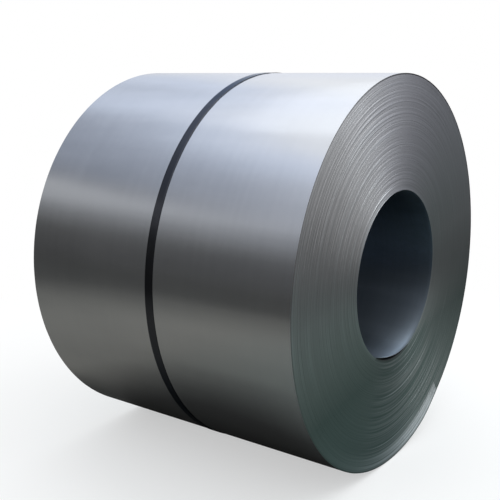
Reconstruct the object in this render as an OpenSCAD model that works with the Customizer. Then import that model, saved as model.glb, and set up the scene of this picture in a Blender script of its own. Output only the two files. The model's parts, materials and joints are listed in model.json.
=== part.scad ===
// Steel coil lying on its side, tied with one flat steel strap. Sizes in mm, +Z up, +X along the coil's axis.

/* [Coil] */
// Outside diameter at the outer tail, where the coil is fullest
coil_od = 1410; // [1000:10:2000]
// Bore diameter, the coil's inside diameter
coil_id = 610; // [508:1:620]
// Width of the strip, which is the length of the coil along its axis
strip_w = 1110; // [600:10:1600]
// Thickness of the strip
strip_t = 1.2; // [0.5:0.1:3]

/* [Wound ends] */
// Bands of turns that show as steps on each end
lap_bands = 30; // [10:1:60]
// Furthest that a band stands out from, or back from, its true end plane
lap_wander = 1.6; // [0:0.1:5]
// Radial depth of the outermost band, which carries the outer tail
tail_band = 9; // [4:0.5:20]

/* [Outer tail] */
// Angle of the strip's outer end around the axis, from +Y towards +Z
tail_angle = -54; // [-90:1:0]
// Part of a turn over which the outer lap runs down into the turns below it
tail_sweep = 150; // [90:1:165]
// Distance that the outer lap stands out of the end at its tail, as the strip ran off line
tail_stand = 5; // [0:0.5:15]

/* [Inner lap] */
// Angle of the middle of the gap behind the sprung inner lap, from +Y towards +Z
gap_angle = -93; // [-180:1:180]
// Largest opening of that gap
gap_open = 5; // [1:0.5:8]
// Half of the angle that the gap spans
gap_half = 25; // [10:1:45]
// Depth of the gap in from each end
gap_depth = 60; // [10:5:200]

/* [Strap] */
// Width of the strap
strap_w = 32; // [19:1:51]
// Thickness of the strap
strap_t = 0.9; // [0.5:0.1:1.3]
// Distance of the strap from mid-width, towards +X
strap_x = 8; // [-100:1:100]
// Radial clearance between the coil and the strap
strap_clear = 0.2; // [0.1:0.05:0.5]
// Length of the lap of the strap's two ends
strap_lap = 150; // [80:5:300]
// Distance that the upper end is set in at each edge of the lap
lap_inset = 0.3; // [0.1:0.1:1]

/* [Seal] */
// Angle of the seal around the axis, from +Y towards +Z
seal_angle = 40; // [0:1:80]
// Length of the seal along the strap
seal_l = 57; // [30:1:90]
// Sheet thickness of the seal
seal_t = 1; // [0.6:0.1:1.5]
// Clearance between the seal and what it holds
seal_clear = 0.2; // [0.1:0.05:0.5]
// Crimps along each edge of the seal
seal_crimps = 2; // [1:1:4]
// Radius of the crimping jaw
crimp_r = 5; // [2:0.5:8]
// Depth of a crimp in from the edge of the seal
crimp_d = 2.2; // [0.5:0.1:3]

/* [Hidden] */
$fn = 180;
eps = 1;

// Radii of the coil
coil_r = coil_od / 2;
bore_r = coil_id / 2;
body_r = coil_r - strip_t;

// Radii of the strap and its seal
strap_ri = coil_r + strap_clear;
strap_ro = strap_ri + strap_t;
lap_ri = strap_ro + strap_clear;
lap_ro = lap_ri + strap_t;
seal_ri = lap_ro + seal_clear;
seal_ro = seal_ri + seal_t;
seal_w = strap_w + 2 * (seal_clear + seal_t);

// Height of the axis, with the strap's lowest point on the floor
axis_z = strap_ro;

// Radius where band i starts: bands are uneven, as the turns that show are
band_run = body_r - tail_band - bore_r;
function band_share(i) = i / lap_bands + 0.22 / lap_bands * sin(i * 141);
function band_start(i) = i <= 0 ? bore_r : i >= lap_bands ? body_r - tail_band : bore_r + band_run * band_share(i);

// Axial wander of band i: the same sheet shows it on both ends, out of one and back from the other
function wander(i) = i == 0 ? 0 : lap_wander * (0.6 * sin(i * 137.5) + 0.4 * sin(i * 61 + 20));

// Half profile of the wound body: radius, distance along the axis
near_end = [for (i = [0 : lap_bands - 1], s = [0, 1]) [band_start(i + s), strip_w / 2 + wander(i)]];
far_end = [for (i = [lap_bands - 1 : -1 : 0], s = [1, 0]) [band_start(i + s), -strip_w / 2 + wander(i)]];
rim_near = [[body_r - tail_band, strip_w / 2], [body_r, strip_w / 2]];
rim_far = [[body_r, -strip_w / 2], [body_r - tail_band, -strip_w / 2]];
body_profile = concat(near_end, rim_near, rim_far, far_end);

// Circle whose crescent outside the inner lap is the gap
lap_r = bore_r + strip_t;
gap_shift = ((lap_r + gap_open) * (lap_r + gap_open) - lap_r * lap_r)
    / (2 * (lap_r + gap_open) - 2 * lap_r * cos(gap_half));
gap_r = lap_r + gap_open - gap_shift;

// Puts what is turned about Z on the coil's axis, with angle 0 at +Y and 90 at +Z
module on_axis() {
    translate([0, 0, axis_z]) rotate([0, 90, 0]) rotate([0, 0, 90]) children();
}

// Pie of the given sweep from angle 0 towards minus, tall enough to cut with
module pie(sweep, reach, tall) {
    corners = [for (k = [0 : 6]) [reach * cos(-sweep * k / 6), reach * sin(-sweep * k / 6)]];
    translate([0, 0, -tall / 2]) linear_extrude(tall) polygon(concat([[0, 0]], corners));
}

// The outer lap: an eccentric ring that is one strip thickness proud at the tail and runs down to nothing
module outer_lap() {
    slope = tail_stand / (coil_r * (1 - cos(tail_sweep)));
    rotate([0, 0, tail_angle]) intersection() {
        difference() {
            translate([strip_t / 2, 0, -strip_w]) cylinder(r = coil_r - strip_t / 2, h = 2 * strip_w);
            translate([0, 0, -strip_w - eps]) cylinder(r = body_r - tail_band + eps, h = 2 * (strip_w + eps));
        }
        pie(tail_sweep, 1.6 * coil_r, 2 * strip_w);
        translate([0, 0, -slope * coil_r * cos(tail_sweep)]) rotate([0, -atan(slope), 0])
            translate([-2 * coil_r, -2 * coil_r, -strip_w / 2]) cube([4 * coil_r, 4 * coil_r, strip_w]);
    }
}

// The crescent gap behind the sprung inner lap, open at one end
module inner_gap() {
    rotate([0, 0, gap_angle]) linear_extrude(gap_depth + lap_wander + eps) difference() {
        translate([gap_shift, 0]) circle(r = gap_r);
        circle(r = lap_r);
    }
}

module coil() {
    color([0.55, 0.57, 0.6]) on_axis() difference() {
        union() {
            rotate_extrude() polygon(body_profile);
            outer_lap();
        }
        translate([0, 0, strip_w / 2 - gap_depth]) inner_gap();
        translate([0, 0, -strip_w / 2 + gap_depth]) mirror([0, 0, 1]) inner_gap();
    }
}

module strap() {
    lap_sweep = strap_lap / lap_ri * 180 / PI;
    color([0.1, 0.11, 0.13]) on_axis() translate([0, 0, strap_x - strap_w / 2]) {
        difference() {
            cylinder(r = strap_ro, h = strap_w);
            translate([0, 0, -eps]) cylinder(r = strap_ri, h = strap_w + 2 * eps);
        }
        rotate([0, 0, seal_angle - lap_sweep / 2]) rotate_extrude(angle = lap_sweep)
            translate([strap_ro - strap_t / 2, lap_inset])
                square([lap_ro - strap_ro + strap_t / 2, strap_w - 2 * lap_inset]);
    }
}

module strap_seal() {
    seal_sweep = seal_l / seal_ro * 180 / PI;
    crimp_step = seal_sweep / (seal_crimps + 1);
    color([0.16, 0.17, 0.19]) on_axis() translate([0, 0, strap_x]) difference() {
        rotate([0, 0, seal_angle - seal_sweep / 2]) rotate_extrude(angle = seal_sweep) polygon([
            [strap_ri, -seal_w / 2],
            [seal_ro, -seal_w / 2],
            [seal_ro, seal_w / 2],
            [strap_ri, seal_w / 2],
            [strap_ri, seal_w / 2 - seal_t],
            [seal_ri, seal_w / 2 - seal_t],
            [seal_ri, -seal_w / 2 + seal_t],
            [strap_ri, -seal_w / 2 + seal_t]
        ]);
        for (k = [1 : seal_crimps], side = [-1, 1])
            rotate([0, 0, seal_angle - seal_sweep / 2 + k * crimp_step])
                translate([coil_r - eps, 0, side * (seal_w / 2 + crimp_r - crimp_d)])
                    rotate([0, 90, 0]) cylinder(r = crimp_r, h = seal_ro - coil_r + 2 * eps, $fn = 36);
    }
}

coil();
strap();
strap_seal();
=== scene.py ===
"""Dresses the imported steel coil: the wound strip, its tie strap, the crimped seal and a plain studio."""

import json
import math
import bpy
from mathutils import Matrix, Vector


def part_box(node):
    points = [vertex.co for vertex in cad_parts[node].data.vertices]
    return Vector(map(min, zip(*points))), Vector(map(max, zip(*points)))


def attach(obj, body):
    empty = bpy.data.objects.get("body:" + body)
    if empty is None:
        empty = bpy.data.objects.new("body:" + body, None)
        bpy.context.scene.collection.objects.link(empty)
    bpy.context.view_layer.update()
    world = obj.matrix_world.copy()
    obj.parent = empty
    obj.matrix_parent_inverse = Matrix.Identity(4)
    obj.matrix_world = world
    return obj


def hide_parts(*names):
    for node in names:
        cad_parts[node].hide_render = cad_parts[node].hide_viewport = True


bl_info = {
    "name": "Steel coil",
    "version": (1, 0, 0),
    "blender": (4, 5, 0),
    "location": "3D View > Sidebar > Steel coil",
    "description": "Winds a coil of rolled steel strip, ties it with a strap and lights it",
    "category": "Object",
}

import bpy
import numpy as np
from bpy.props import FloatProperty, FloatVectorProperty, IntProperty, PointerProperty
from mathutils import Vector

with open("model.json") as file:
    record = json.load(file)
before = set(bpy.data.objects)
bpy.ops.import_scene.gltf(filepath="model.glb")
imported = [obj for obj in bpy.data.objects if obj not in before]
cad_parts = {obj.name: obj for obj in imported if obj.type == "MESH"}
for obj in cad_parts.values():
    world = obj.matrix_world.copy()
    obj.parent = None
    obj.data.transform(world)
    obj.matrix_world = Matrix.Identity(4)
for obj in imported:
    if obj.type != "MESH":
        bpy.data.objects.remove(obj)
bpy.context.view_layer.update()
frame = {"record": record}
TURNS_MAP = "Turns"

# Sizes that the frame gives, in metres
BORE = next(m for m in frame["record"]["mounts"] if m["name"] == "bore")
BORE_R = BORE["dims"]["r_mm"] / 1000
STRIP_W = BORE["dims"]["length_mm"] / 1000
AXIS_Z = BORE["pos_m"][2]
STRAP_LOW, STRAP_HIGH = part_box("strap")
STRAP_X = (STRAP_LOW[0] + STRAP_HIGH[0]) / 2
STRAP_W = STRAP_HIGH[0] - STRAP_LOW[0]

# The strap's lowest point is on the floor, so its outer radius is the height of the axis
STRAP_RO = AXIS_Z

# The ends: inner turns without relief, radius over which bands step, and the groove where the gap is shut
INNER_TURNS = 0.01
BAND_STEP = 0.0001
GROOVE_OPEN = 0.00015
GROOVE_DEPTH = 0.0003

# Random relief of the ends: its fixed part and parts once and twice round, shift of bands' edges, and seeds
RELIEF_PARTS = [[0.7], [0.4], [0.25]]
EDGE_SHIFT = 0.4
RELIEF_SEED, EDGE_SEED, TILT_SEED = 11, 5, 3

# Share of a turn where the outside steps down to the tail, barrel sections, and bore sections from an end
SEAM_SHARE = 0.9999
BARREL_SECTIONS = 12
BORE_SECTIONS = np.array([0.012, 0.03, 0.06, 0.1, 0.16, 0.24, 0.36])

# The sprung inner lap: skew of its crescent, least crescent that shows, and share of the width left round
GAP_SKEW = 0.75
GAP_SEEN = 0.02
LAP_ROUND = 0.4

# The outer tail: angles over which it stands out and falls back
TAIL_RISE = math.radians(14)
TAIL_FALL = math.radians(45)

# Painted highlight on the turns by the tail: angle it runs to, share at the start and angle to full, and
# share of the drag
TAIL_HIGHLIGHT = math.radians(56)
TAIL_START, TAIL_START_RUN = 0.7, math.radians(6)
HIGHLIGHT_DRAG = 0.6

# The outermost turn's rim, dark with painted shade: its depth, the step to it, and how far the shade fades
# and over which angle
RIM_W = 0.0045
RIM_STEP = 0.0005
RIM_FADE, RIM_SPREAD = 0.75, math.radians(75)

# Painted highlight on the turns round the bore, and painted light on the lip in it: width, spread, least
# share, and share added at the middle
GLINT_W, GLINT_SPREAD = 0.016, math.radians(40)
GLINT_SHARE = (0.25, 0.65)
LIP_W, LIP_SPREAD = 0.055, math.radians(30)
LIP_LIGHT_SHARE = (0.14, 0.86)

# Bends past which edges are shaded sharp: on the strap and seal, and on the coil with its slight steps
EDGE_BEND = math.radians(30)
TURN_BEND = math.radians(3)

# The strap and its seal: sections, points of a rounded edge, ramp to the lap, and width and share of wear
STRAP_SECTIONS, STRAP_CORNER = 380, 6
SEAL_SECTIONS, SEAL_CORNER = 61, 5
LAP_RAMP = 0.05
STRAP_WORN = 0.003
SEAL_WORN = 0.004
SEAL_WEAR = (0.7, 0.3)

# How much of their paint the strap and the seal have lost where they are worn
STRAP_BARE, SEAL_BARE = 0.45, 0.8

# Painted shade and painted green reflection of the ground, darker towards the bottom of the ends: way down,
# where it starts and is full on it, share, and lines in it
LOW_SHADE_WAY = (0.0, 0.15, -0.99)
LOW_SHADE_REACH = (-0.05, 0.3)
LOW_SHADE_SHARE = 0.85
LOW_SHADE_LINES = 2.2

# Angles, from +Y towards +Z, where turns are least even, with painted highlight lines, and where the painted
# low shade breaks into lines, and cosines of their reach
UNEVEN_ANGLE, UNEVEN_REACH = math.radians(150), (0.5, 0.82)
LINED_ANGLE, LINED_REACH = math.radians(-75), (0.78, 0.96)

# Share of the rings' contrast that is left where the turns lie even
EVEN_SHARE = 0.25

# Rings of the turns on the ends, broad to fine: lines per metre, fading on the way round, detail, and weight
RINGS = ((60.0, 0.6, 1.0, 0.22), (130.0, 0.9, 1.0, 0.6), (215.0, 1.4, 0.0, 0.18))

# Painted highlights along single turns on the ends: radius, middle angle and run in degrees, and strength
TURN_HIGHLIGHTS = (
    (0.444, -76, 60, 0.7),
    (0.625, -86, 48, 0.55),
    (0.561, -60, 40, 0.45),
    (0.313, 134, 66, 0.9),
    (0.331, 122, 56, 0.8),
)

# Scratches on the barrel: place along the axis, angle in degrees, length, slant, strength, and colour
SCRATCHES = (
    (-0.443, 131.0, 0.066, 0.3, 0.4, (0.95, 0.96, 0.98)),
    (-0.357, 140.4, 0.047, 0.0, 0.2, (0.43, 0.45, 0.5)),
    (-0.266, 144.8, 0.03, -0.5, 0.2, (0.43, 0.45, 0.5)),
)
SCRATCH_W = 0.0035

# How far the roughness of rolled steel differs between its glossiest and its dullest marks
DULLING = 0.2

# Tints of the wall card
PLAIN = (1.0, 1.0, 1.0)
EARTH = (1.0, 0.98, 0.94)
PALE_SKY = (0.92, 0.94, 1.0)
SKY = (0.81, 0.87, 1.0)
VIOLET = (0.87, 0.88, 1.0)

# The wall card: direction and spread in degrees, then its grades: elevation in degrees, brightness and tint
WALL_GRADES = (
    (230, 180, (
        (-5, 0.055, EARTH), (5, 0.08, EARTH), (11, 0.115, EARTH), (17, 0.26, PLAIN), (21, 0.44, PLAIN),
        (25, 0.51, PLAIN), (27, 0.44, PLAIN), (29, 0.31, PALE_SKY), (34, 0.36, SKY), (40, 0.44, SKY),
        (45, 0.52, SKY), (50, 0.73, SKY), (55, 0.96, SKY), (60, 1.0, PALE_SKY))),
    (276, 56, (
        (-5, 0.08, EARTH), (6, 0.1, PLAIN), (14, 0.155, PLAIN), (22, 0.3, PALE_SKY), (27, 0.5, PALE_SKY),
        (37, 0.6, PALE_SKY), (44, 0.74, PALE_SKY), (52, 0.97, PALE_SKY), (58, 1.0, PLAIN))),
    (152, 26, (
        (-5, 0.2, PLAIN), (4, 0.55, PLAIN), (9, 0.8, PALE_SKY), (20, 0.86, SKY), (31, 0.75, SKY),
        (38, 0.79, SKY), (41, 0.84, SKY), (44, 0.93, SKY), (48, 0.97, SKY), (56, 1.0, PALE_SKY))),
    (133, 14, (
        (0, 0.6, PLAIN), (9, 0.74, PALE_SKY), (15, 0.76, PALE_SKY), (21, 0.85, SKY), (32, 0.93, SKY),
        (41, 0.98, SKY), (48, 1.0, PALE_SKY))),
    (114, 24, (
        (0, 0.6, PLAIN), (6, 0.78, PLAIN), (10, 0.87, PALE_SKY), (17, 0.97, PALE_SKY), (24, 1.0, PALE_SKY),
        (32, 1.0, PLAIN))),
    (-30, 60, ((0, 0.15, PLAIN), (14, 0.18, PLAIN), (20, 0.4, PLAIN), (26, 0.85, PLAIN), (32, 1.0, PLAIN))),
    (78, 26, (
        (0, 0.27, VIOLET), (10, 0.29, VIOLET), (20, 0.33, VIOLET), (28, 0.48, VIOLET), (36, 0.8, PALE_SKY))),
    (40, 22, ((0, 0.15, PLAIN), (10, 0.19, PLAIN), (22, 0.33, PLAIN), (30, 0.64, PLAIN), (36, 0.92, PLAIN))),
    (14, 24, ((0, 0.19, PLAIN), (20, 0.42, PLAIN), (30, 0.85, PLAIN), (36, 1.0, PLAIN))),
    (57, 12, ((0, 0.32, VIOLET), (12, 0.5, VIOLET), (20, 0.85, PALE_SKY), (28, 1.0, PALE_SKY))),
)
WALL_LOW, WALL_HIGH = math.radians(-5), math.radians(60)
WALL_STEPS = (120, 40)

# The ground card, in metres: left to right, near to far, its painted shadow under the coil, clear of it, by
# its end, and height
CARD_SIDES = (-0.5, 1.3)
CARD_FAR = (1.8, 3.4)
CARD_UNDER = (0.9, 1.2)
CARD_CLEAR = (0.34, 0.54)
CARD_BY_END = (0.45, 0.75)
CARD_Z = 0.0004

# The floor: distances over which it turns white, its white share by the coil, and points round a sheet's edge
FLOOR_FADE = (1.0, 2.6)
FLOOR_WHITE = 0.5
RING_POINTS = 96

# Softboxes: place, point that each is turned to, and size, in metres
TOP_BOX = ((-0.15, 2.2, 4.4), (-0.15, 2.2, 0.0), (3.9, 5.3))
BACK_BOX = ((4.3, 2.5, 6.8), (0.5, 0.0, AXIS_Z), (6.6, 2.8))

# Width of the camera's frame, in millimetres
FRAME_W = 36


def metres(name, description, default, low=0.0, high=100.0, digits=4):
    """A length in metres that a user may change."""
    return FloatProperty(
        name=name, description=description, default=default,
        min=low, max=high, precision=digits, unit="LENGTH")


def degrees(name, description, default):
    """An angle in degrees that a user may change."""
    return FloatProperty(name=name, description=description, default=math.radians(default), subtype="ANGLE")


def rgb(name, description, *default):
    """A colour that a user may change."""
    return FloatVectorProperty(
        name=name, description=description, default=default, size=3, min=0, max=1, subtype="COLOR")


class CoilSizes(bpy.types.PropertyGroup):
    """Sizes of the wound strip."""

    strip_t: metres("Strip thickness", "Thickness of the steel strip", 0.0012, 0.0005, 0.003)
    segments: IntProperty(name="Segments", description="Faces around the coil", default=300, min=96, max=400)
    lap_bands: IntProperty(
        name="Lap bands", description="Bands of turns in relief on each end", default=62, min=10, max=80)
    wander: metres(
        "Wander", "How far a band of turns stands off the true end plane", 0.00025, 0.0, 0.003, 5)
    tilt: metres("Band tilt", "Rise across one band of turns", 0.00006, 0.0, 0.003, 5)
    wave: metres("Waves", "Depth of the shallow waves round the barrel", 0.0003, 0.0, 0.002, 5)
    tail_angle: degrees("Outer tail", "Angle of the strip's outer end, from +Y towards +Z", -54)
    tail_stand: metres(
        "Tail stand-out", "How far the outer lap stands out of the end near its tail", 0.005, 0.0, 0.015)
    tail_band: metres(
        "Tail band", "Depth of the outermost band, which carries the tail", 0.009, 0.005, 0.05)
    tail_drag: metres("Tail drag", "Depth of the turns that lean out with the outer lap", 0.075, 0.01, 0.15)
    gap_from: degrees("Inner gap from", "Angle of the strip's inner end, where the gap starts", -120)
    gap_to: degrees("Inner gap to", "Angle where the sprung inner lap meets the turns again", -68)
    gap_sag: metres("Inner lap sag", "How far the inner lap springs into the bore", 0.012, 0.0, 0.015)
    gap_follow: metres(
        "Turns that follow", "How far the turns behind the sprung inner lap follow it", 0.003, 0.0, 0.01)
    gap_depth: metres("Gap depth", "Depth of the gap in from each end", 0.06, 0.01, 0.2)
    # Where the painted light on the inner lap's lip is strongest
    lip_angle: degrees("Bright lip", "Angle where the inner lap is rubbed brightest near its edges", -80)
    # Where the painted highlight on the turns round the bore is strongest
    glint_angle: degrees(
        "Bright inner turns", "Angle where the turns round the bore are rubbed brightest", 135)
    # Where the painted shade on the outermost turn is least
    plain_rim: degrees("Plain rim", "Angle where the outermost turn is least dark", 180)


class StrapSizes(bpy.types.PropertyGroup):
    """Sizes of the strap and its seal."""

    strap_t: metres("Strap thickness", "Thickness of the strap", 0.0009, 0.0005, 0.0013)
    clearance: metres("Clearance", "Gap between the strap and what it lies on", 0.0002, 0.0001, 0.0005)
    lap: metres("Lap", "Length of the lap of the strap's two ends", 0.15, 0.08, 0.3)
    seal_angle: degrees("Seal angle", "Angle of the seal, from +Y towards +Z", 40)
    seal_l: metres("Seal length", "Length of the seal along the strap", 0.057, 0.03, 0.09)
    seal_t: metres("Seal thickness", "Sheet thickness of the seal", 0.001, 0.0006, 0.0015)
    crimps: IntProperty(
        name="Crimps", description="Crimps along each edge of the seal", default=2, min=1, max=4)
    crimp_d: metres("Crimp depth", "Depth of a crimp in from the edge of the seal", 0.0022, 0.0005, 0.003)


class Finishes(bpy.types.PropertyGroup):
    """Colours of the metals and of the studio."""

    steel_light: rgb("Steel, clean", "Rolled steel where it is clean", 0.74, 0.77, 0.82)
    steel_dark: rgb("Steel, hazed", "Rolled steel under its film of oil", 0.64, 0.67, 0.72)
    stain: rgb("Stains", "Dried oil and hand marks on the steel", 0.29, 0.29, 0.28)
    # Bore colours: the strip's steel darkened by painted shade in the bore
    bore_shaded_clean: rgb("Bore, clean", "Inner lap where it is clean", 0.222, 0.265, 0.318)
    bore_shaded_oiled: rgb("Bore, oiled", "Inner lap under its film of oil", 0.16, 0.195, 0.236)
    # Painted light from the opening on the inner lap's lip
    bore_lip_light: rgb("Bore, edge", "Inner lap where it is rubbed near its edges", 0.71, 0.85, 1.0)
    edge_light: rgb("Turn edges, bright", "Edges of the burnished turns", 0.69, 0.695, 0.71)
    edge_dark: rgb("Turn edges, dull", "Edges of the duller turns", 0.57, 0.575, 0.59)
    # Painted highlight colour on the turns' edges
    edge_highlight: rgb(
        "Turn edges, proud", "Edges of the turns that stand proud and are rubbed bright", 0.83, 0.87, 0.9)
    # Painted shade and painted green reflection of the ground on the lower part of the ends
    edge_low_shade: rgb("Turn edges, oily", "Edges of the turns under oil and dust", 0.155, 0.21, 0.2)
    # Painted shade on the outermost turn and in the gap behind the inner lap
    edge_rim_shade: rgb("Turn edges, outermost", "Dark edge of the outermost turn", 0.09, 0.09, 0.095)
    strap_black: rgb("Strap", "Black paint and wax of the strap", 0.078, 0.083, 0.098)
    bare_metal: rgb("Worn metal", "Steel that shows where paint has worn off", 0.3, 0.3, 0.31)
    floor: rgb("Floor", "The pale floor", 0.95, 0.95, 0.95)
    backdrop: rgb("Backdrop", "The white surround", 1.0, 1.0, 1.0)
    sky: rgb("Light", "Light from all round and from the back softbox", 0.94, 0.98, 1.0)
    top_light: rgb("Top light", "Softbox over the coil", 0.96, 0.98, 1.0)
    card_left: rgb("Ground card, left", "Card that the barrel mirrors", 0.203, 0.19, 0.166)
    card_right: rgb("Ground card, right", "Card that the end mirrors", 0.13, 0.163, 0.15)
    # Painted shadow on the ground card close under the coil
    card_under: rgb("Ground card, under", "Card by the line of contact", 0.056, 0.054, 0.05)
    card_under_right: rgb(
        "Ground card, by the end", "Card close to the coil's visible end", 0.18, 0.255, 0.245)
    card_far: rgb("Ground card, far left", "Card further out at the left", 0.065, 0.062, 0.057)
    card_far_right: rgb("Ground card, far right", "Card further out at the right", 0.045, 0.044, 0.045)


class ViewSizes(bpy.types.PropertyGroup):
    """Where the photograph was taken from, and the size and light of the studio."""

    azimuth: degrees("Azimuth", "Camera angle around the coil", 35.607)
    elevation: degrees("Elevation", "Camera angle above the level", 12.284)
    distance: metres("Distance", "Camera distance from the point it looks at", 3.2378, 1.0)
    aim_x: metres("Aim along", "Aimed point along the axis", -0.0915, -2.0, 2.0)
    aim_up: metres("Aim up", "Aimed point above the axis", 0.011, -2.0, 2.0)
    lens: FloatProperty(
        name="Lens", description="Focal length on a 36 mm frame", default=58.16, subtype="DISTANCE_CAMERA")
    card_r: metres("Card radius", "Distance of the grey cards that the metal mirrors", 9.0, 3.0)
    stage_r: metres("Stage radius", "Radius of the floor", 40.0, 10.0)
    top_level: FloatProperty(
        name="Top softbox", description="Brightness of the softbox over the coil", default=0.28, min=0, max=4)
    back_level: FloatProperty(
        name="Back softbox", description="Brightness of the softbox behind the end",
        default=2.9, min=0, max=6)


def smooth(t):
    """Smooth step: 0 below 0, 1 above 1, and 3t^2 - 2t^3 between."""
    t = np.clip(t, 0, 1)
    return t * t * (3 - 2 * t)


def swell(angle, middle, spread, power=2):
    """1 at a middle angle, fading to both sides: exp(-|turn / spread|^power) of the turn between."""
    turn = np.angle(np.exp(1j * (angle - middle)))
    return np.exp(-np.abs(turn / spread) ** power)


def around_axis(radius, angle, along):
    """Points at a radius and an angle about the coil's axis: x along it, y level, z up."""
    return np.stack(np.broadcast_arrays(
        along, radius * np.cos(angle), AXIS_Z + radius * np.sin(angle)), axis=-1)


def placed(name, data):
    """An object of a mesh, lamp or camera, linked into the scene."""
    made = bpy.data.objects.new(name, data)
    bpy.context.collection.objects.link(made)
    return made


def grid_object(name, points, closed, materials, slots=None, wear=None, sharp=EDGE_BEND):
    """A mesh from an n by m grid of points: n sections along a path, each a closed profile of m points.

    Quads join neighbours on the grid. A closed path joins its last section to its first, and an open one
    is capped. The faces are turned outwards by the sign of the enclosed volume. The map Turns runs u along
    the profile and v along the path. slots gives each profile span's material, and the wear values give each
    point's paint wear and painted shading.
    Edges that bend by more than the angle sharp are shaded as edges.
    """
    n, m = points.shape[:2]
    rows = np.arange(n if closed else n - 1)
    row, column = np.meshgrid(rows, np.arange(m), indexing="ij")
    corner_rows = np.stack([row, row + 1, row + 1, row], axis=-1)
    corner_columns = np.stack([column, column, column + 1, column + 1], axis=-1)
    quads = ((corner_rows % n) * m + corner_columns % m).reshape(-1, 4)
    flat = points.reshape(-1, 3)
    a, b, c, d = (flat[quads[:, k]] for k in range(4))
    outward = np.einsum("ij,ij->", a, np.cross(b, c)) + np.einsum("ij,ij->", a, np.cross(c, d)) > 0
    step = np.linalg.norm(np.diff(points, axis=1, append=points[:, :1]), axis=2).mean(axis=0)
    profile_at = np.concatenate([[0], np.cumsum(step)]) / step.sum()
    uv = np.stack([profile_at[corner_columns], corner_rows / len(rows)], axis=-1).reshape(-1, 4, 2)
    if not outward:
        quads = quads[:, ::-1]
        uv = uv[:, ::-1]
    loops = quads.ravel()
    starts = np.arange(len(quads)) * 4
    loop_uv = uv.reshape(-1, 2)
    if not closed:
        first = np.arange(m)
        last = (n - 1) * m + np.arange(m)
        caps = [first, last[::-1]] if outward else [first[::-1], last]
        starts = np.concatenate([starts, len(loops) + m * np.arange(2)])
        loops = np.concatenate([loops, *caps])
        loop_uv = np.concatenate([loop_uv, np.zeros((2 * m, 2))])
    mesh = bpy.data.meshes.new(name)
    mesh.vertices.add(n * m)
    mesh.vertices.foreach_set("co", flat.ravel())
    mesh.loops.add(len(loops))
    mesh.loops.foreach_set("vertex_index", loops)
    mesh.polygons.add(len(starts))
    mesh.polygons.foreach_set("loop_start", starts)
    mesh.update(calc_edges=True)
    mesh.uv_layers.new(name=TURNS_MAP).data.foreach_set("uv", loop_uv.ravel())
    for material in materials:
        mesh.materials.append(material)
    if slots is not None:
        index = np.broadcast_to(slots, (len(rows), m)).ravel()
        mesh.polygons.foreach_set("material_index", index.astype(np.int32))
    if wear is not None:
        layer = mesh.attributes.new("wear", "FLOAT", "POINT")
        layer.data.foreach_set("value", wear.ravel().astype(np.float32))
    mesh.polygons.foreach_set("use_smooth", np.ones(len(starts), dtype=bool))
    mesh.set_sharp_from_angle(angle=sharp)
    if mesh.validate():
        raise RuntimeError(f"{name} has faces that don't hold together")
    return placed(name, mesh)


def fill(tree, socket, value):
    """Links a socket to an input, or sets the input to a value."""
    if isinstance(value, bpy.types.NodeSocket):
        tree.links.new(value, socket)
    else:
        socket.default_value = value


def add(tree, kind, inputs=None, **settings):
    """A shader node with its settings, and its inputs set to values or linked from sockets."""
    made = tree.nodes.new(kind)
    for key, value in settings.items():
        setattr(made, key, value)
    for key, value in (inputs or {}).items():
        fill(tree, made.inputs[key], value)
    return made


def maths(tree, operation, first, second=0.5, third=0.5):
    """The output of a Math node."""
    return add(tree, "ShaderNodeMath", {0: first, 1: second, 2: third}, operation=operation).outputs[0]


def times(tree, first, second):
    """The product of two values."""
    return maths(tree, "MULTIPLY", first, second)


def weighted(tree, *parts, base=0.0):
    """A base plus values, each times its weight."""
    total = base
    for value, weight in parts:
        total = maths(tree, "MULTIPLY_ADD", value, weight, total)
    return total


def vectors(tree, operation, first, second=(0, 0, 0)):
    """The output of a Vector Math node: a number for a length or a dot product, and otherwise a vector."""
    made = add(tree, "ShaderNodeVectorMath", {0: first, 1: second}, operation=operation)
    return made.outputs["Value" if operation in ("LENGTH", "DOT_PRODUCT") else "Vector"]


def parts_of(tree, vector):
    """The X, Y and Z of a vector."""
    return add(tree, "ShaderNodeSeparateXYZ", {"Vector": vector}).outputs


def share(tree, value, start, end, least=0.0):
    """How far a value has come from start to end, from least to 1."""
    limits = {"From Min": start, "From Max": end, "To Min": least}
    return add(tree, "ShaderNodeMapRange", {"Value": value, **limits}).outputs[0]


def mixed(tree, factor, first, second):
    """The colour between two colours, by a factor."""
    made = add(tree, "ShaderNodeMix", data_type="RGBA")
    fill(tree, made.inputs[0], factor)
    for socket, value in ((made.inputs[6], first), (made.inputs[7], second)):
        fill(tree, socket, value if isinstance(value, bpy.types.NodeSocket) else (*value, 1))
    return made.outputs[2]


def ramp(tree, factor, stops):
    """The colour output of a ColorRamp whose stops are (place, value or colour) pairs."""
    made = add(tree, "ShaderNodeValToRGB", {"Fac": factor})
    elements = made.color_ramp.elements
    while len(elements) < len(stops):
        elements.new(1.0)
    for element, (place, colour) in zip(elements, stops):
        element.position = place
        element.color = (*colour, 1) if isinstance(colour, tuple) else (colour, colour, colour, 1)
    return made.outputs["Color"]


def noise(tree, vector, scale=1.0, detail=3.0, roughness=0.6):
    """The value output of a 3D noise."""
    sockets = {"Vector": vector, "Scale": scale, "Detail": detail, "Roughness": roughness}
    return add(tree, "ShaderNodeTexNoise", sockets).outputs["Fac"]


def bumped(tree, shader, height, strength, distance):
    """Gives a shader relief from a height."""
    bump = add(tree, "ShaderNodeBump", {"Strength": strength, "Distance": distance, "Height": height})
    tree.links.new(bump.outputs[0], shader.inputs["Normal"])


def from_axis(tree):
    """Object coordinates centred on the middle of the coil's axis."""
    place = add(tree, "ShaderNodeTexCoord").outputs["Object"]
    return add(tree, "ShaderNodeMapping", {"Vector": place, "Location": (0, 0, -AXIS_Z)}).outputs[0]


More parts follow.
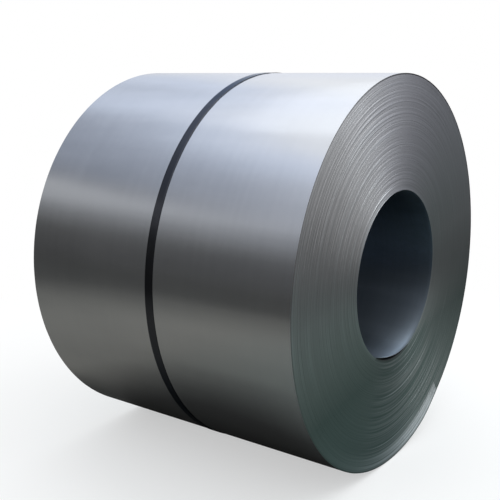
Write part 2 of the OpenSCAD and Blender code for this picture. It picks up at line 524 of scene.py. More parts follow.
def stretched(tree, along, across):
    """Object coordinates centred on the axis and stretched along it and across it."""
    scale = (along, across, across)
    return add(tree, "ShaderNodeMapping", {"Vector": from_axis(tree), "Scale": scale}).outputs[0]


def radius_of(tree):
    """Distance from the axis."""
    return vectors(tree, "LENGTH", stretched(tree, 0, 1))


def outwards(tree):
    """Direction away from the axis."""
    return vectors(tree, "NORMALIZE", stretched(tree, 0, 1))


def facing(tree, angle):
    """How far the direction from the axis is that of an angle: 1 at the angle, and 0 a quarter turn away."""
    return vectors(tree, "DOT_PRODUCT", outwards(tree), (0.0, math.cos(angle), math.sin(angle)))


def turned_from(tree, start):
    """Angle about the axis, from +Y towards +Z, less a start."""
    place = parts_of(tree, from_axis(tree))
    return maths(tree, "SUBTRACT", maths(tree, "ARCTAN2", place["Z"], place["Y"]), start)


def off_by(tree, value, middle):
    """How far a value is from a middle."""
    return maths(tree, "ABSOLUTE", maths(tree, "SUBTRACT", value, middle))


def wear_and_shading_of(tree):
    """The mesh's attribute of paint wear on the strap and seal, and of painted light and shade on the coil.
    """
    return add(tree, "ShaderNodeAttribute", attribute_name="wear").outputs["Fac"]


def new_group(name, inputs, outputs):
    """A shader node group with float inputs that have defaults, and float outputs."""
    tree = bpy.data.node_groups.new(name, "ShaderNodeTree")
    for label, value in inputs.items():
        tree.interface.new_socket(label, in_out="INPUT", socket_type="NodeSocketFloat").default_value = value
    for label in outputs:
        tree.interface.new_socket(label, in_out="OUTPUT", socket_type="NodeSocketFloat")
    return tree, tree.nodes.new("NodeGroupInput").outputs, tree.nodes.new("NodeGroupOutput").inputs


def rolling_marks_group():
    """Marks of the rolling mill: grain and broad lines round the coil, soft bands along it, and haze."""
    tree, _, out = new_group("Rolling marks", {}, ("Tone", "Dullness", "Height"))
    grain = noise(tree, stretched(tree, 700, 5))
    lines = noise(tree, stretched(tree, 45, 1.1))
    bands = noise(tree, stretched(tree, 1.6, 15), detail=2.0, roughness=0.5)
    haze = noise(tree, stretched(tree, 3.5, 6), detail=6.0, roughness=0.66)
    streaks = weighted(tree, (lines, 0.6), (grain, 0.4))
    clouds = weighted(tree, (haze, 0.55), (bands, 0.45))
    tree.links.new(weighted(tree, (clouds, 0.68), (streaks, 0.32)), out["Tone"])
    tree.links.new(weighted(tree, (streaks, 0.3), (clouds, 0.7)), out["Dullness"])
    tree.links.new(weighted(tree, (streaks, 0.06), (bands, 0.5)), out["Height"])


def smudges_group():
    """Scattered stains and hand marks: patches where two noises both run high."""
    tree, given, out = new_group("Smudges", {"Size": 6.0, "Amount": 0.5, "Contrast": 7.0}, ("Mask",))
    place = from_axis(tree)
    broad = noise(tree, place, given["Size"])
    fine = noise(tree, place, times(tree, given["Size"], 7.0), detail=4.0, roughness=0.65)
    both = weighted(tree, (broad, 0.85), (fine, 0.15))
    edge = weighted(tree, (given["Amount"], -0.25), base=0.72)
    above = times(tree, maths(tree, "SUBTRACT", both, edge), given["Contrast"])
    tree.links.new(add(tree, "ShaderNodeClamp", {"Value": above}).outputs[0], out["Mask"])


def scratch_group():
    """One thin scratch: near a slanted line round the coil, and fading towards both ends of its length."""
    sizes = {"Along": 0.0, "Around": 0.0, "Length": 0.05, "Slant": 0.0, "Width": SCRATCH_W}
    tree, given, out = new_group("Scratch", sizes, ("Mask",))
    run = times(tree, turned_from(tree, given["Around"]), STRAP_RO)
    line = maths(tree, "MULTIPLY_ADD", run, given["Slant"], given["Along"])
    thin = share(tree, off_by(tree, parts_of(tree, from_axis(tree))["X"], line), given["Width"], 0.0)
    end = share(tree, maths(tree, "ABSOLUTE", run), times(tree, given["Length"], 0.5), 0.0)
    tree.links.new(times(tree, thin, end), out["Mask"])


def lap_lines_group():
    """Lines of the turns on an end: noise whose first coordinate is the radius, so it runs round in rings.

    The other two coordinates are the direction from the axis, so each line fades in and out on its way round.
    """
    sizes = {"Lines per metre": 100.0, "Fade": 1.5, "Detail": 1.0}
    tree, given, out = new_group("Lap lines", sizes, ("Line",))
    lines = times(tree, radius_of(tree), given["Lines per metre"])
    fade = vectors(tree, "MULTIPLY", outwards(tree), given["Fade"])
    place = vectors(tree, "ADD", fade, add(tree, "ShaderNodeCombineXYZ", {"X": lines}).outputs[0])
    tree.links.new(noise(tree, place, detail=given["Detail"]), out["Line"])


def turn_highlight_group():
    """One painted highlight along a turn: near a radius, and fading towards both ends of its run."""
    sizes = {"Radius": 0.5, "Around": 0.0, "Run": 1.0, "Width": 0.003}
    tree, given, out = new_group("Proud turn", sizes, ("Mask",))
    thin = share(tree, off_by(tree, radius_of(tree), given["Radius"]), given["Width"], 0.0)
    turned = maths(tree, "ABSOLUTE", turned_from(tree, given["Around"]))
    end = share(tree, turned, times(tree, given["Run"], 0.5), times(tree, given["Run"], 0.25))
    tree.links.new(times(tree, thin, end), out["Mask"])


def worn_edges_group():
    """Paint wear: the mesh's wear attribute broken up by noise."""
    tree, given, out = new_group("Worn edges", {"Amount": 0.5}, ("Mask",))
    broken = noise(tree, from_axis(tree), scale=160.0, detail=4.0, roughness=0.7)
    reach = maths(tree, "MULTIPLY_ADD", wear_and_shading_of(tree), given["Amount"], maths(tree, "SUBTRACT", broken, 1.0))
    worn = add(tree, "ShaderNodeClamp", {"Value": times(tree, reach, 6.0)})
    tree.links.new(worn.outputs[0], out["Mask"])


def place_group(tree, name, inputs=None):
    """The outputs of a shared node group placed in a material."""
    made = add(tree, "ShaderNodeGroup", node_tree=bpy.data.node_groups[name])
    for key, value in (inputs or {}).items():
        made.inputs[key].default_value = value
    return made.outputs


def new_material(name):
    """A material with nodes, and its tree."""
    material = bpy.data.materials.new(name)
    material.use_nodes = True
    return material, material.node_tree


def new_metal(name, anisotropic=0.0):
    """An empty metal: its tree and its Principled shader, whose gloss can be drawn out along the profile."""
    material, tree = new_material(name)
    shader = tree.nodes["Principled BSDF"]
    shader.inputs["Metallic"].default_value = 1.0
    shader.inputs["Anisotropic"].default_value = anisotropic
    if anisotropic:
        tangent = add(tree, "ShaderNodeTangent", direction_type="UV_MAP", uv_map=TURNS_MAP)
        tree.links.new(tangent.outputs[0], shader.inputs["Tangent"])
    return material, tree, shader


def rolled_steel(name, dark, light, stain, roughness, anisotropic):
    """Bare rolled steel: tone and gloss follow the rolling marks, and soft stains dull it.

    roughness is that of marks halfway between glossy and dull.
    """
    material, tree, shader = new_metal(name, anisotropic)
    marks = place_group(tree, "Rolling marks")
    stains = place_group(tree, "Smudges", {"Size": 4.0, "Amount": 0.6, "Contrast": 2.5})["Mask"]
    steel = mixed(tree, ramp(tree, marks["Tone"], [(0.3, 0.0), (0.7, 1.0)]), dark, light)
    stained = mixed(tree, times(tree, stains, 0.1), steel, stain)
    gloss = weighted(tree, (marks["Dullness"], DULLING), (stains, 0.02), base=roughness - DULLING / 2)
    tree.links.new(gloss, shader.inputs["Roughness"])
    bumped(tree, shader, marks["Height"], strength=0.25, distance=0.0015)
    return material, tree, shader, stained


def barrel_steel(finishes):
    """The outer lap: rolled steel with a few light and dark scratches at its upper left."""
    material, tree, shader, steel = rolled_steel(
        "rolled_steel", finishes.steel_dark, finishes.steel_light, finishes.stain,
        roughness=0.2, anisotropic=0.25)
    for along, around, length, slant, strength, colour in SCRATCHES:
        place = {"Along": along, "Around": math.radians(around), "Length": length, "Slant": slant}
        mask = place_group(tree, "Scratch", place)["Mask"]
        steel = mixed(tree, times(tree, mask, strength), steel, colour)
    tree.links.new(steel, shader.inputs["Base Color"])
    return material


def bore_steel(finishes):
    """The inner lap: oiled rolled steel, darkened by painted shade in the bore, with painted light from the
    opening near its edges, where the wear and shading attribute is high.
    """
    material, tree, shader, steel = rolled_steel(
        "bore_steel", finishes.bore_shaded_oiled, finishes.bore_shaded_clean, finishes.stain,
        roughness=0.42, anisotropic=0.62)
    # Painted light from the opening, fading in from each end of the bore
    painted_light = share(tree, wear_and_shading_of(tree), 0.5, 1.0)
    tree.links.new(mixed(tree, painted_light, steel, finishes.bore_lip_light), shader.inputs["Base Color"])
    gloss = shader.inputs["Roughness"].links[0].from_socket
    tree.links.new(weighted(tree, (painted_light, 0.15), base=gloss), shader.inputs["Roughness"])
    return material


def wound_edges(finishes):
    """Edges of the turns: rings of bright and dull metal at three spacings, darker and greener low down by
    painted shade and painted reflection of the ground.

    Rings, and painted highlight lines on them, are clearest round the angle where the turns lie least even.
    The wear attribute is above 0.5 for painted highlights on the turns, and below it for painted shade on the
    outermost turn and in the gap behind the inner lap.
    """
    material, tree, shader = new_metal("wound_edges", anisotropic=0.78)
    lines = []
    for count, fade, detail, weight in RINGS:
        spacing = {"Lines per metre": count, "Fade": fade, "Detail": detail}
        lines.append((place_group(tree, "Lap lines", spacing)["Line"], weight))
    rings = weighted(tree, *lines)
    medium = lines[1][0]
    uneven = share(tree, facing(tree, UNEVEN_ANGLE), *UNEVEN_REACH, least=EVEN_SHARE)
    evened = weighted(tree, (maths(tree, "SUBTRACT", rings, 0.5), uneven), base=0.5)
    edges = mixed(
        tree, ramp(tree, evened, [(0.36, 0.0), (0.64, 1.0)]), finishes.edge_dark, finishes.edge_light)
    # Thin bright lines on the rings where the turns lie least even: painted highlight
    glint_lines = times(tree, ramp(tree, medium, [(0.57, 0.0), (0.61, 1.0)]), uneven)
    lined = mixed(tree, times(tree, glint_lines, 0.35), edges, finishes.edge_highlight)
    dirt = place_group(tree, "Smudges", {"Size": 3.0, "Amount": 0.8})["Mask"]
    dusty = mixed(tree, times(tree, dirt, 0.1), lined, finishes.stain)
    # Painted shade and painted green reflection of the ground, darker towards the bottom, broken into lines
    # round the lined angle
    low = share(tree, vectors(tree, "DOT_PRODUCT", from_axis(tree), LOW_SHADE_WAY), *LOW_SHADE_REACH)
    in_lines = share(tree, facing(tree, LINED_ANGLE), *LINED_REACH)
    line = times(tree, maths(tree, "SUBTRACT", 0.5, rings), LOW_SHADE_LINES)
    low_shade = times(tree, low, weighted(tree, (line, in_lines), base=LOW_SHADE_SHARE))
    colour = mixed(tree, low_shade, dusty, finishes.edge_low_shade)
    # Painted highlights along single turns
    for radius, around, run, strength in TURN_HIGHLIGHTS:
        place = {"Radius": radius, "Around": math.radians(around), "Run": math.radians(run)}
        mask = place_group(tree, "Proud turn", place)["Mask"]
        colour = mixed(tree, times(tree, mask, strength), colour, finishes.edge_highlight)
    # Painted highlights on the turns by the tail, round the bore and on the sprung lap's edge
    painted_light = times(tree, share(tree, wear_and_shading_of(tree), 0.5, 1.0), ramp(tree, rings, [(0.38, 0.4), (0.54, 1.0)]))
    highlit = mixed(tree, painted_light, colour, finishes.edge_highlight)
    # Painted shade on the outermost turn and in the gap behind the inner lap
    shaded = share(tree, wear_and_shading_of(tree), 0.5, 0.0)
    tree.links.new(mixed(tree, shaded, highlit, finishes.edge_rim_shade), shader.inputs["Base Color"])
    tree.links.new(weighted(tree, (evened, -0.3), base=0.61), shader.inputs["Roughness"])
    bumped(tree, shader, evened, strength=1.0, distance=0.0058)
    return material


def strap_paint(name, finishes, wear_amount):
    """Thin black paint, through which the steel still glints, worn at its edges and scuffed along its run."""
    material, tree, shader = new_metal(name)
    shader.inputs["Specular Tint"].default_value = (0.62, 0.68, 0.78, 1)
    worn = place_group(tree, "Worn edges", {"Amount": wear_amount})["Mask"]
    scuffs = place_group(tree, "Smudges", {"Size": 14.0, "Amount": 0.7})["Mask"]
    paint = mixed(tree, times(tree, scuffs, 0.1), finishes.strap_black, finishes.bare_metal)
    colour = mixed(tree, times(tree, worn, 0.7), paint, finishes.bare_metal)
    tree.links.new(colour, shader.inputs["Base Color"])
    tree.links.new(weighted(tree, (scuffs, 0.06), base=0.12), shader.inputs["Roughness"])
    bumped(tree, shader, noise(tree, stretched(tree, 300, 20)), strength=0.2, distance=0.0005)
    return material


def lap_relief(sizes, angle):
    """Axial offset of each band of turns: a fixed part, and parts that vary once and twice round.

    Row i is an angle and column k a band: a_k + b_k cos(angle - p_k) + c_k cos(2 angle - q_k), held by tanh.
    """
    draw = np.random.default_rng(RELIEF_SEED)
    fixed, once, twice = draw.normal(size=(3, sizes.lap_bands)) * RELIEF_PARTS
    p, q = draw.uniform(0, 2 * np.pi, size=(2, sizes.lap_bands))
    turn = angle[:, None]
    return sizes.wander * np.tanh(fixed + once * np.cos(turn - p) + twice * np.cos(2 * turn - q))


def band_edges(sizes, start, end):
    """Radii between bands of turns: even steps made uneven by up to a share of a step."""
    draw = np.random.default_rng(EDGE_SEED)
    part = np.arange(1, sizes.lap_bands) + draw.uniform(-EDGE_SHIFT, EDGE_SHIFT, sizes.lap_bands - 1)
    return start + (end - start) * np.concatenate([[0], part / sizes.lap_bands, [1]])


def end_bands(sizes, angle, stand, coil_r):
    """Radii of the bands' edges on an end, and their offsets along the axis, one row for each angle.

    A band's offset is its relief, less and plus half its tilt at its two edges, plus what the tail stands out
    times a smooth step of the radius over the tail's drag.
    """
    body_r = coil_r - sizes.strip_t
    edges = band_edges(sizes, BORE_R + sizes.strip_t + INNER_TURNS, body_r - sizes.tail_band)
    radii = np.repeat(edges, 2)[1:-1]
    radii[1::2] -= BAND_STEP
    tilt = sizes.tilt * np.random.default_rng(TILT_SEED).normal(size=sizes.lap_bands)
    offset = np.repeat(lap_relief(sizes, angle), 2, axis=1) + np.stack([-tilt / 2, tilt / 2], axis=1).ravel()
    lean = smooth((radii - coil_r + sizes.tail_drag) / sizes.tail_drag)
    return radii, offset + stand[:, None] * lean


def barrel_waves(sizes, angle):
    """Depth of the shallow waves of the outer turns: w (1 + mean of three cosines of the angle) / 2."""
    counts = np.array([[23], [37], [54]])
    starts = np.array([[0.4], [2.1], [4.4]])
    return sizes.wave * (1 + np.cos(counts * angle + starts).mean(axis=0)) / 2


def crescent_shape(sizes, angle):
    """How far the inner lap has sprung: sin(pi s^k), s being 0 to 1 through the gap, and 0 elsewhere."""
    s = ((angle - sizes.gap_from) % (2 * np.pi)) / (sizes.gap_to - sizes.gap_from)
    return np.where(s < 1, np.sin(np.pi * np.clip(s, 0, 1) ** GAP_SKEW), 0)


def end_shading(sizes, back, angle, crescent, radii, coil_r):
    """Wear of the near end's and the far end's points: 0.5 is plain, 1 is rubbed bare and 0 is darkest.

    Turns round the bore carry a painted highlight on both ends. Turns by the tail carry one on the near end,
    by exp(-(back / reach)^3) with a softer start. The sprung lap's edge has a painted highlight, and its gap
    and the outermost turn have painted shade.
    """
    # Painted highlight on the turns by the tail
    softened = TAIL_START + (1 - TAIL_START) * smooth(back / TAIL_START_RUN)
    by_tail = softened * np.exp(-(back / TAIL_HIGHLIGHT) ** 3)
    tail_highlight = by_tail[:, None] * smooth((radii - coil_r + sizes.tail_drag) / (HIGHLIGHT_DRAG * sizes.tail_drag))
    # Painted highlight on the turns round the bore, strongest at the glint angle
    least, more = GLINT_SHARE
    glint = least + more * swell(angle, sizes.glint_angle, GLINT_SPREAD)
    bore_turn_highlight = glint[:, None] * smooth(1 - (radii - BORE_R) / GLINT_W)
    # Painted shade on the outermost turn, least at the plain rim angle
    rim_shade = 1 - RIM_FADE * swell(angle, sizes.plain_rim, RIM_SPREAD, 4)
    in_gap = crescent > GAP_SEEN
    gap = crescent[in_gap, None]
    ends = []
    for painted_light in (np.maximum(tail_highlight, bore_turn_highlight), bore_turn_highlight):
        wear = 0.5 + 0.5 * painted_light
        # Painted highlight on the sprung lap's edge
        wear[in_gap, :2] = np.maximum(wear[in_gap, :2], 0.5 + 0.5 * gap)
        # Painted shade in the gap behind the sprung lap, then on the outermost turn
        wear[in_gap, 2:5] = 0.5 * (1 - np.sqrt(gap))
        wear[:, -2:] = np.minimum(wear[:, -2:] - 0.5 * rim_shade[:, None], 0.5)
        ends.append(wear)
    return ends


def coil_points(sizes, coil_r):
    """The wound coil as a closed section carried round the axis, each span's material, and each point's
    painted light and shade.

    The section runs through the bore, up the near end, back along the barrel and down the far end. Each end
    is a row of tilted bands. The outside is a spiral that is one strip thickness full at the tail:
    r = body + t (1 - back / 360), where back is the angle back from the tail. The inner lap springs into
    the bore by the crescent's shape, and leaves a gap in front of the turns, which follow it a little.
    """
    t = sizes.strip_t
    half = STRIP_W / 2
    body_r = coil_r - t
    back = np.append(np.linspace(0, 2 * np.pi, sizes.segments, endpoint=False), 2 * np.pi * SEAM_SHARE)
    angle = sizes.tail_angle - back
    n = len(back)
    flush = np.zeros(n)
    crescent = crescent_shape(sizes, angle)
    depth = GROOVE_DEPTH + sizes.gap_depth * np.sqrt(crescent)
    groove_r = BORE_R + t + GROOVE_OPEN - sizes.gap_follow * crescent
    sag = sizes.gap_sag * crescent
    lap_r = BORE_R - sag
    stand = sizes.tail_stand * smooth(back / TAIL_RISE) * np.exp(-(back / TAIL_FALL) ** 2)
    outside = body_r + t * (1 - back / (2 * np.pi)) - barrel_waves(sizes, angle)

    radii, offset = end_bands(sizes, angle, stand, coil_r)
    end = [(lap_r, flush), (lap_r + t, flush), (lap_r + t, -depth), (groove_r, -depth), (groove_r, flush)]
    end += [(np.full(n, r), x) for r, x in zip(radii, offset.T)]
    end += [(np.full(n, body_r - inset), stand) for inset in (sizes.tail_band, RIM_W, RIM_W - RIM_STEP)]
    end += [(outside, stand)]
    end_r = np.stack([r for r, x in end], axis=1)
    end_x = np.stack([x for r, x in end], axis=1)
    far_x = end_x.copy()
    far_x[:, 2:4] = depth[:, None]
    near_shading, far_shading = end_shading(sizes, back, angle, crescent, end_r[0], coil_r)

    barrel_x = half * np.linspace(1, -1, BARREL_SECTIONS + 2)[1:-1] + stand[:, None]
    barrel_r = np.repeat(outside[:, None], BARREL_SECTIONS, axis=1)
    bore_x = np.concatenate([BORE_SECTIONS - half, [0], half - BORE_SECTIONS[::-1]])
    bore_r = BORE_R - sag[:, None] * smooth((np.abs(bore_x) / half - LAP_ROUND) / (1 - LAP_ROUND))
    # Painted light from the opening on the inner lap, fading with depth from each end
    least, more = LIP_LIGHT_SHARE
    lip = least + more * swell(angle, sizes.lip_angle, LIP_SPREAD)
    lip_light = lip[:, None] * np.exp(-(half - np.abs(bore_x)) / LIP_W)

    radius = np.concatenate([end_r, barrel_r, end_r[:, ::-1], bore_r], axis=1)
    along = np.concatenate([
        half + end_x, barrel_x, -half + far_x[:, ::-1], np.broadcast_to(bore_x, bore_r.shape)], axis=1)
    spans_end = len(end) - 1
    slots = np.concatenate([
        np.ones(spans_end), np.zeros(BARREL_SECTIONS + 1), np.ones(spans_end), np.full(len(bore_x) + 1, 2)])
    wear = np.concatenate([
        near_shading, np.full(barrel_r.shape, 0.5), far_shading[:, ::-1], 0.5 + 0.5 * lip_light], axis=1)
    return around_axis(radius, angle[:, None], along), slots, wear


def strap_points(straps, coil_r):
    """The strap: a flat section with round edges carried once round and over its own end.

    The radius is the coil's plus a clearance, and rises by one strap thickness and a clearance, as a smooth
    step, just before the upper end passes over the lower one.
    """
    lap_angle = straps.lap / STRAP_RO
    turn = np.linspace(0, 2 * np.pi + lap_angle, STRAP_SECTIONS)
    angle = straps.seal_angle - lap_angle / 2 + turn
    ramp_angle = LAP_RAMP / STRAP_RO
    lift = (straps.strap_t + straps.clearance) * smooth((turn - 2 * np.pi + ramp_angle) / ramp_angle)
    base = coil_r + straps.clearance + lift
    edge = straps.strap_t / 2
    corner = np.linspace(-np.pi / 2, np.pi / 2, STRAP_CORNER)
    flat = np.linspace(-1, 1, STRAP_CORNER)[1:-1] * (STRAP_W / 2 - edge)
    side = STRAP_W / 2 - edge * (1 - np.cos(corner))
    across = np.concatenate([side, flat[::-1], -side, flat])
    up = np.concatenate([
        edge * (1 + np.sin(corner)), np.full(len(flat), 2 * edge),
        edge * (1 - np.sin(corner)), np.zeros(len(flat))])
    wear = np.clip(1 - (STRAP_W / 2 - np.abs(across)) / STRAP_WORN, 0, 1)
    points = around_axis(base[:, None] + up[None, :], angle[:, None], STRAP_X + across[None, :])
    return points, np.broadcast_to(wear, points.shape[:2])


def seal_points(straps, coil_r):
    """The seal: a channel over both strap ends, carried along the strap, its edges nipped in at each crimp.

    The nip is a rounded dip of the crimp depth, cos^2 over a third of the crimp spacing.
    """
    gap = straps.clearance
    top = coil_r + 3 * gap + 2 * straps.strap_t
    half = STRAP_W / 2 + gap
    t = straps.seal_t
    length = np.linspace(-0.5, 0.5, SEAL_SECTIONS) * straps.seal_l
    angle = straps.seal_angle + length / top
    spacing = straps.seal_l / (straps.crimps + 1)
    from_crimp = (length + straps.seal_l / 2) % spacing
    from_crimp = np.minimum(from_crimp, spacing - from_crimp)
    at_end = np.abs(length) > straps.seal_l / 2 - spacing / 2
    nipped = (from_crimp < spacing / 3) & ~at_end
    nip = np.where(nipped, np.cos(np.pi / 2 * from_crimp / (spacing / 3)) ** 2, 0) * straps.crimp_d
    low = coil_r + gap
    bend = np.linspace(0, np.pi / 2, SEAL_CORNER)
    side_x = np.concatenate([[half, half + t], half + t * np.cos(bend)])
    side_r = np.concatenate([[low, low], top + t * np.sin(bend)])
    across = np.concatenate([side_x, -side_x[::-1], [-half, half]])
    radius = np.concatenate([side_r, side_r[::-1], [top, top]])
    edge = smooth((np.abs(across) - half + SEAL_WORN) / SEAL_WORN)
    shifted = across[None, :] - np.sign(across)[None, :] * edge[None, :] * nip[:, None]
    points = around_axis(radius[None, :], angle[:, None], STRAP_X + shifted)
    on_edge, on_crimp = SEAL_WEAR
    return points, edge[None, :] * on_edge + nip[:, None] / straps.crimp_d * on_crimp


def coil_radius(straps):
    """Radius of the coil at its tail: what the strap goes round."""
    return STRAP_RO - straps.strap_t - straps.clearance


def settle(piece, node):
    """Puts a piece in the place of a CAD node, on the part's one body."""
    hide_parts(node)
    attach(piece, "root")


def tied_piece(scene, name, shape, paint, worn, node):
    """A painted piece of the strapping, in the place of its CAD node."""
    straps = scene.steelcoil_strap
    points, wear = shape(straps, coil_radius(straps))
    metal = strap_paint(paint, scene.steelcoil_finishes, worn)
    settle(grid_object(name, points, False, [metal], wear=wear), node)


class STEELCOIL_OT_finishes(bpy.types.Operator):
    """Makes the node groups that several metals share"""

    bl_idname = "steelcoil.finishes"
    bl_label = "Make shared finishes"

    def execute(self, context):
        rolling_marks_group()
        smudges_group()
        scratch_group()
        lap_lines_group()
        turn_highlight_group()
        worn_edges_group()
        return {"FINISHED"}


class STEELCOIL_OT_coil(bpy.types.Operator):
    """Winds the strip into the coil"""

    bl_idname = "steelcoil.coil"
    bl_label = "Wind the coil"

    def execute(self, context):
        scene = context.scene
        finishes = scene.steelcoil_finishes
        points, slots, wear = coil_points(scene.steelcoil_coil, coil_radius(scene.steelcoil_strap))
        metals = [barrel_steel(finishes), wound_edges(finishes), bore_steel(finishes)]
        coil = grid_object("wound_coil", points, True, metals, slots, wear, TURN_BEND)
        settle(coil, "coil")
        return {"FINISHED"}


class STEELCOIL_OT_strap(bpy.types.Operator):
    """Ties the strap round the coil"""

    bl_idname = "steelcoil.strap"
    bl_label = "Tie the strap"

    def execute(self, context):
        tied_piece(
            context.scene, "tie_strap", strap_points, "strap_paint", STRAP_BARE, "strap")
        return {"FINISHED"}


class STEELCOIL_OT_seal(bpy.types.Operator):
    """Crimps the seal over the strap's ends"""

    bl_idname = "steelcoil.seal"
    bl_label = "Crimp the seal"

    def execute(self, context):
        tied_piece(
            context.scene, "crimped_seal", seal_points, "seal_paint", SEAL_BARE, "strap_seal")
        return {"FINISHED"}


def sheet_object(name, points, faces, material):
    """A stage sheet from its points and faces."""
    mesh = bpy.data.meshes.new(name)
    mesh.from_pydata(points, [], faces)
    mesh.materials.append(material)
    sheet = placed(name, mesh)
    return sheet


def round_sheet(name, radius, height, material):
    """A level round stage sheet about the origin."""
    turn = np.linspace(0, 2 * np.pi, RING_POINTS, endpoint=False)
    points = np.stack([radius * np.cos(turn), radius * np.sin(turn), np.full(RING_POINTS, height)], axis=1)
    return sheet_object(name, points, [range(RING_POINTS)], material)


def wall_sheet(name, radius, material):
    """A stage sheet all round: the part of a sphere about the coil's middle between the wall's two rises."""
    turns, rises = WALL_STEPS
    turn, rise = np.meshgrid(
        np.linspace(0, 2 * np.pi, turns), np.linspace(WALL_LOW, WALL_HIGH, rises), indexing="ij")
    way = np.stack([np.cos(rise) * np.cos(turn), np.cos(rise) * np.sin(turn), np.sin(rise)], axis=-1)
    row, column = np.meshgrid(np.arange(turns - 1), np.arange(rises - 1), indexing="ij")
    faces = (row * rises + column).reshape(-1, 1) + [0, rises, rises + 1, 1]
    return sheet_object(name, (radius * way + (0, 0, AXIS_Z)).reshape(-1, 3), faces, material)


def seen_directly(tree):
    """1 for camera rays and for what metal and glass show, and 0 for light that spreads."""
    path = add(tree, "ShaderNodeLightPath").outputs
    mirrored = maths(tree, "MAXIMUM", path["Is Glossy Ray"], path["Is Transmission Ray"])
    return maths(tree, "MAXIMUM", path["Is Camera Ray"], mirrored)


def surround_world(finishes):
    """White all round for the camera and for what metal mirrors, and plain light of the sky's colour."""
    world = bpy.data.worlds.new("surround")
    bpy.context.scene.world = world
    world.use_nodes = True
    tree = world.node_tree
    light, white = (
        add(tree, "ShaderNodeBackground", {"Color": (*colour, 1), "Strength": 1.0}).outputs[0]
        for colour in (finishes.sky, finishes.backdrop))
    mix = add(tree, "ShaderNodeMixShader", {0: seen_directly(tree), 1: light, 2: white})
    tree.links.new(mix.outputs[0], tree.nodes["World Output"].inputs["Surface"])


def stage_material(name, kind):
    """A stage material of one shader: its node tree and the shader's colour socket."""
    material, tree = new_material(name)
    tree.nodes.remove(tree.nodes["Principled BSDF"])
    shader = add(tree, kind)
    tree.links.new(shader.outputs[0], tree.nodes["Material Output"].inputs["Surface"])
    return material, tree, shader.inputs["Color"]


def floor_material(finishes):
    """The pale floor with the coil's shadow, which goes over into the white surround away from the coil."""
    material, tree, colour = stage_material("pale_floor", "ShaderNodeBsdfDiffuse")
    colour.default_value = (*finishes.floor, 1)
    white = add(tree, "ShaderNodeEmission", {"Color": (*finishes.backdrop, 1)}).outputs[0]
    away = share(tree, vectors(tree, "LENGTH", from_axis(tree)), *FLOOR_FADE, least=FLOOR_WHITE)
    factor = times(tree, away, seen_directly(tree))
    mix = add(tree, "ShaderNodeMixShader", {0: factor, 1: colour.node.outputs[0], 2: white})
    tree.links.new(mix.outputs[0], tree.nodes["Material Output"].inputs["Surface"])
    return material


def ground_card_material(finishes):
    """The grey card on the floor, with a painted shadow close under the coil, darker further out, warm at the
    left and green at the right.
    """
    material, tree, colour = stage_material("ground_card", "ShaderNodeBsdfDiffuse")
    distance = vectors(tree, "LENGTH", from_axis(tree))
    place = parts_of(tree, from_axis(tree))
    to_right = share(tree, place["X"], *CARD_SIDES)
    near = mixed(tree, to_right, finishes.card_left, finishes.card_right)
    far = mixed(tree, to_right, finishes.card_far, finishes.card_far_right)
    beyond = mixed(tree, share(tree, distance, *CARD_FAR), near, far)
    # Painted shadow close under the coil, except by its end
    clear = share(tree, maths(tree, "ABSOLUTE", place["Y"]), *CARD_CLEAR)
    out = times(tree, share(tree, distance, *CARD_UNDER), maths(tree, "MAXIMUM", clear, to_right))
    by_end = share(tree, place["X"], *CARD_BY_END)
    close = mixed(tree, by_end, finishes.card_under, finishes.card_under_right)
    tree.links.new(mixed(tree, out, close, beyond), colour)
    return material


def wall_card_material():
    """The graded card round the stage, dark at its foot and light at its top.

    Its grades differ by direction: each row of WALL_GRADES is laid over those before it, round its own.
    """
    material, tree, emitted = stage_material("wall_card", "ShaderNodeEmission")
    way = vectors(tree, "NORMALIZE", from_axis(tree))
    span = WALL_HIGH - WALL_LOW
    rise_angle = maths(tree, "ARCSINE", parts_of(tree, way)["Z"])
    height = maths(tree, "DIVIDE", maths(tree, "SUBTRACT", rise_angle, WALL_LOW), span)
    level = vectors(tree, "NORMALIZE", vectors(tree, "MULTIPLY", way, (1, 1, 0)))
    laid = None
    for azimuth, spread, grades in WALL_GRADES:
        grade = ramp(tree, height, [
            ((math.radians(rise) - WALL_LOW) / span, tuple(value * part for part in tint))
            for rise, value, tint in grades])
        if laid is None:
            laid = grade
            continue
        centre = (math.cos(math.radians(azimuth)), math.sin(math.radians(azimuth)), 0)
        near = vectors(tree, "DOT_PRODUCT", level, centre)
        limits = math.cos(math.radians(spread)), math.cos(math.radians(spread / 2))
        laid = mixed(tree, share(tree, near, *limits), laid, grade)
    tree.links.new(laid, emitted)
    return material


def softbox(name, layout, level, colour):
    """A soft rectangular lamp, turned to the point that it lights; level is about its brightness."""
    place, aim, size = layout
    lamp = bpy.data.lights.new(name, "AREA")
    lamp.shape = "RECTANGLE"
    lamp.size, lamp.size_y = size
    lamp.energy = math.pi * size[0] * size[1] * level
    lamp.color = colour
    box = placed(name, lamp)
    box.location = place
    box.rotation_euler = (Vector(aim) - Vector(place)).to_track_quat("-Z", "Y").to_euler()
    box.visible_camera = False


def aim_camera(scene, view):
    """The camera at the photograph's viewing angle."""
    camera = placed("camera", bpy.data.cameras.new("camera"))
    camera.data.lens = view.lens
    camera.data.sensor_width = FRAME_W
    camera.data.clip_end = 3 * view.stage_r
    level = view.distance * math.cos(view.elevation)
    camera.location = (
        view.aim_x + level * math.sin(view.azimuth),
        -level * math.cos(view.azimuth),
        AXIS_Z + view.aim_up + view.distance * math.sin(view.elevation))
    camera.rotation_euler = (math.pi / 2 - view.elevation, 0, view.azimuth)
    scene.camera = camera


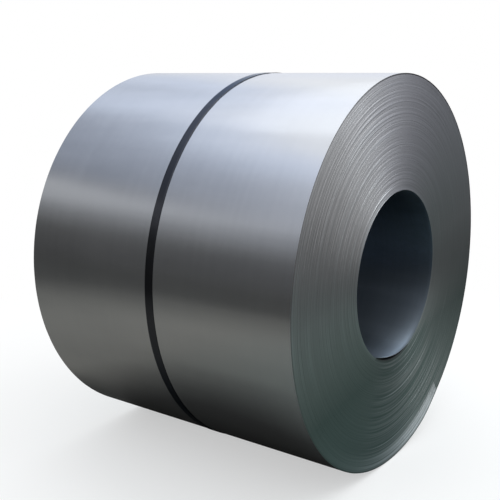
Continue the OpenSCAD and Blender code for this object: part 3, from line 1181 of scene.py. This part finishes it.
class STEELCOIL_OT_stage(bpy.types.Operator):
    """Sets the floor, the cards that the metal mirrors, the light and the camera"""

    bl_idname = "steelcoil.stage"
    bl_label = "Set the stage"

    def execute(self, context):
        scene = context.scene
        view = scene.steelcoil_view
        finishes = scene.steelcoil_finishes
        round_sheet("floor", view.stage_r, 0, floor_material(finishes))
        ground = round_sheet("ground_card", view.card_r, CARD_Z, ground_card_material(finishes))
        wall = wall_sheet("wall_card", view.card_r, wall_card_material())
        for card in (ground, wall):
            card.visible_camera = False
            card.visible_diffuse = False
            card.visible_transmission = False
            card.visible_shadow = False
        surround_world(finishes)
        softbox("top_softbox", TOP_BOX, view.top_level, finishes.top_light)
        softbox("back_softbox", BACK_BOX, view.back_level, finishes.sky)
        aim_camera(scene, view)
        scene.view_settings.view_transform = "Standard"
        return {"FINISHED"}


class STEELCOIL_PT_panel(bpy.types.Panel):
    """Sizes, colours and pieces of the steel coil"""

    bl_idname = "STEELCOIL_PT_panel"
    bl_label = "Steel coil"
    bl_space_type = "VIEW_3D"
    bl_region_type = "UI"
    bl_category = "Steel coil"

    def draw(self, context):
        for operator in OPERATORS:
            self.layout.operator(operator.bl_idname)
        for group in GROUPS:
            settings = getattr(context.scene, group)
            for name in settings.__annotations__:
                self.layout.prop(settings, name)


OPERATORS = (
    STEELCOIL_OT_finishes, STEELCOIL_OT_coil, STEELCOIL_OT_strap, STEELCOIL_OT_seal, STEELCOIL_OT_stage)
GROUPS = {
    "steelcoil_coil": CoilSizes,
    "steelcoil_strap": StrapSizes,
    "steelcoil_finishes": Finishes,
    "steelcoil_view": ViewSizes,
}
CLASSES = (*GROUPS.values(), *OPERATORS, STEELCOIL_PT_panel)


def register():
    """Registers the classes, and the settings on the scene."""
    for cls in CLASSES:
        bpy.utils.register_class(cls)
    for name, cls in GROUPS.items():
        setattr(bpy.types.Scene, name, PointerProperty(type=cls))


def unregister():
    """Takes off what register put on."""
    for name in GROUPS:
        delattr(bpy.types.Scene, name)
    for cls in reversed(CLASSES):
        bpy.utils.unregister_class(cls)


def main():
    """Builds the pieces and the stage."""
    register()
    bpy.ops.steelcoil.finishes()
    bpy.ops.steelcoil.coil()
    bpy.ops.steelcoil.strap()
    bpy.ops.steelcoil.seal()
    bpy.ops.steelcoil.stage()


if __name__ == "__main__":
    main()
